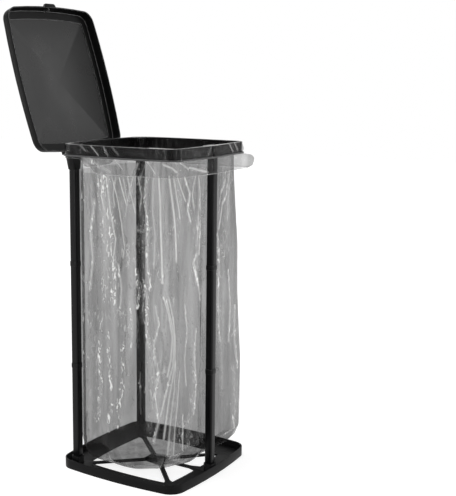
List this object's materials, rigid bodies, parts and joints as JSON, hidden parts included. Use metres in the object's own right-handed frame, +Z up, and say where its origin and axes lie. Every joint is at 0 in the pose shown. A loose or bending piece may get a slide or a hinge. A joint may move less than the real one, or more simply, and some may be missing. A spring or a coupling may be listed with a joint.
{
  "type": "bin bag holder",
  "caption": "Free-standing bin bag holder: open square base, plug-in posts, bag rim, hinged lid leaning back, and a clear bag held by an elastic band",
  "frame": {"origin": "On the floor in the middle of the base", "axes": "+Z up, front towards -Y, lid's hinge on the +Y side along X"},
  "size_m": [0.38, 0.5503, 1.207],
  "materials": {
    "black_plastic": "satin injection-moulded black",
    "post_plastic": "satin extruded black",
    "pin_steel": "plain steel",
    "bag_film": "thin grey see-through film",
    "elastic_cord": "braided black cover",
    "ferrule_metal": "bright crimped metal"
  },
  "bodies": {
    "stand": {"base_frame": "black_plastic", "rear_left_post_lower": "post_plastic", "rear_left_post_middle": "post_plastic", "rear_left_post_upper": "post_plastic", "rear_right_post_lower": "post_plastic", "rear_right_post_middle": "post_plastic", "rear_right_post_upper": "post_plastic", "front_post_lower": "post_plastic", "front_post_middle": "post_plastic", "front_post_upper": "post_plastic", "bag_rim": "black_plastic", "hinge_bracket_left": "black_plastic", "hinge_bracket_right": "black_plastic", "hinge_pin_left": "pin_steel", "hinge_pin_right": "pin_steel", "bin_bag": "bag_film", "elastic_band": "elastic_cord", "band_ferrule": "ferrule_metal"},
    "lid": {"lid": "black_plastic"}
  },
  "joints": [
    {"name": "lid_hinge", "type": "hinge", "parent": "stand", "child": "lid", "pos_m": [0, 0.2105, 0.815], "axis": [1, 0, 0], "range_deg": [0, 106.4]}
  ]
}
